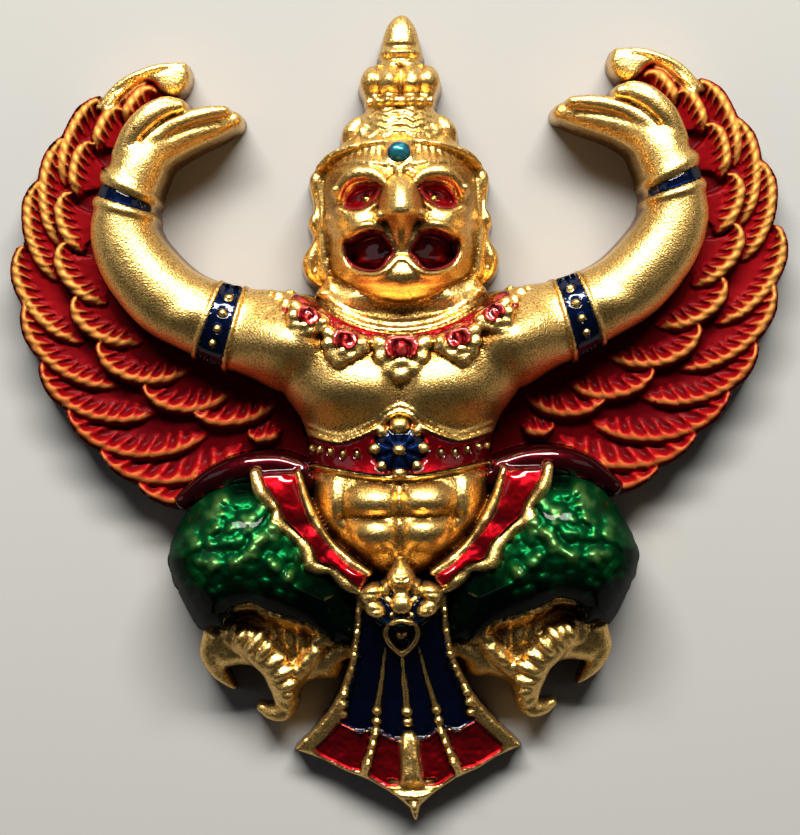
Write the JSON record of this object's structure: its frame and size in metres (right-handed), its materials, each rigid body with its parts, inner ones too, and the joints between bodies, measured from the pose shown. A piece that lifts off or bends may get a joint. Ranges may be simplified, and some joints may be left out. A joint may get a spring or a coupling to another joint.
{
  "type": "garuda badge",
  "caption": "Small cast badge of a crowned, winged garuda squatting with raised arms, gold-plated with red, green and blue enamel, flat at the back",
  "frame": {"origin": "the middle of the bounding box's lowest face, in the plane of the flat back", "axes": "+X to the right of someone looking at the badge's front, +Y up the figure from tail to crown, +Z out of the front, the way the face looks"},
  "size_m": [0.0302, 0.0322, 0.0077],
  "materials": {
    "gold_plate": "satin gold plating over a cast body",
    "wing_enamel": "thin satin red enamel over the plating",
    "red_enamel": "glossy transparent red enamel over the plating",
    "green_enamel": "glossy transparent green enamel over the plating",
    "blue_enamel": "glossy transparent dark blue enamel over the plating"
  },
  "bodies": {
    "root": {"garuda_casting": "gold_plate"}
  },
  "joints": []
}
